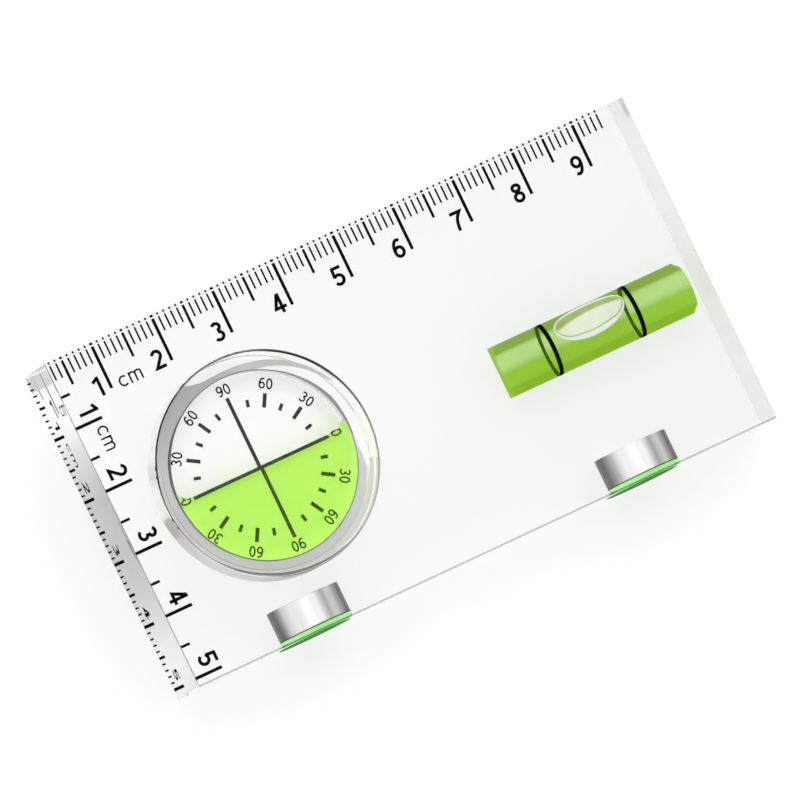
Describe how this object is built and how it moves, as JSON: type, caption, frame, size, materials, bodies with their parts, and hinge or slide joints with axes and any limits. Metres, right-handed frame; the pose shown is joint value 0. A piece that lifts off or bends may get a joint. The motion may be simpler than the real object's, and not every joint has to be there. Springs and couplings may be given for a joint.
{
  "type": "magnetic mini level",
  "caption": "Clear acrylic pocket level with rulers on its back, a half-filled angle dial, a bubble vial and magnets in one long edge.",
  "frame": {"origin": "middle of the printed back face, on which the level lies", "axes": "+X along the length towards the vial, +Y towards the long ruler's edge, +Z out of the front face"},
  "size_m": [0.0962, 0.0516, 0.0127],
  "materials": {
    "clear_acrylic": "clear, polished",
    "white_face": "matt white sheet",
    "grey_ink": "flat dark grey print",
    "black_ink": "flat black print",
    "lime_liquid": "clear bright green liquid",
    "green_liquid": "clear green liquid",
    "bubble_air": "clear air bubble",
    "plated_magnet": "satin nickel plate",
    "green_cap": "glossy green"
  },
  "bodies": {
    "block": {"acrylic_body": "clear_acrylic", "dial_cup": "clear_acrylic", "dial_face": "white_face", "dial_crosshair": "grey_ink", "dial_long_marks": "grey_ink", "dial_short_marks": "grey_ink", "dial_lens": "clear_acrylic", "vial_tube": "clear_acrylic", "vial_end_plug": "clear_acrylic", "vial_liquid": "green_liquid", "vial_ring_left": "black_ink", "vial_ring_right": "black_ink", "vial_bore_plug": "clear_acrylic", "magnet_left": "plated_magnet", "magnet_right": "plated_magnet", "magnet_cap_left": "green_cap", "magnet_cap_right": "green_cap", "long_ruler_mm": "black_ink", "long_ruler_half_cm": "black_ink", "long_ruler_cm": "black_ink", "short_ruler_mm": "black_ink", "short_ruler_half_cm": "black_ink", "short_ruler_cm": "black_ink"},
    "dial_level": {"dial_liquid": "lime_liquid"},
    "bubble": {"vial_bubble": "bubble_air"}
  },
  "joints": [
    {"name": "dial_turn", "type": "hinge", "parent": "block", "child": "dial_level", "pos_m": [-0.0243, -0.00065, 0.0085], "axis": [0, 0, 1], "continuous": true},
    {"name": "bubble_slide", "type": "slide", "parent": "block", "child": "bubble", "axis": [1, 0, 0], "range_m": [-0.0085, 0.0077]}
  ]
}
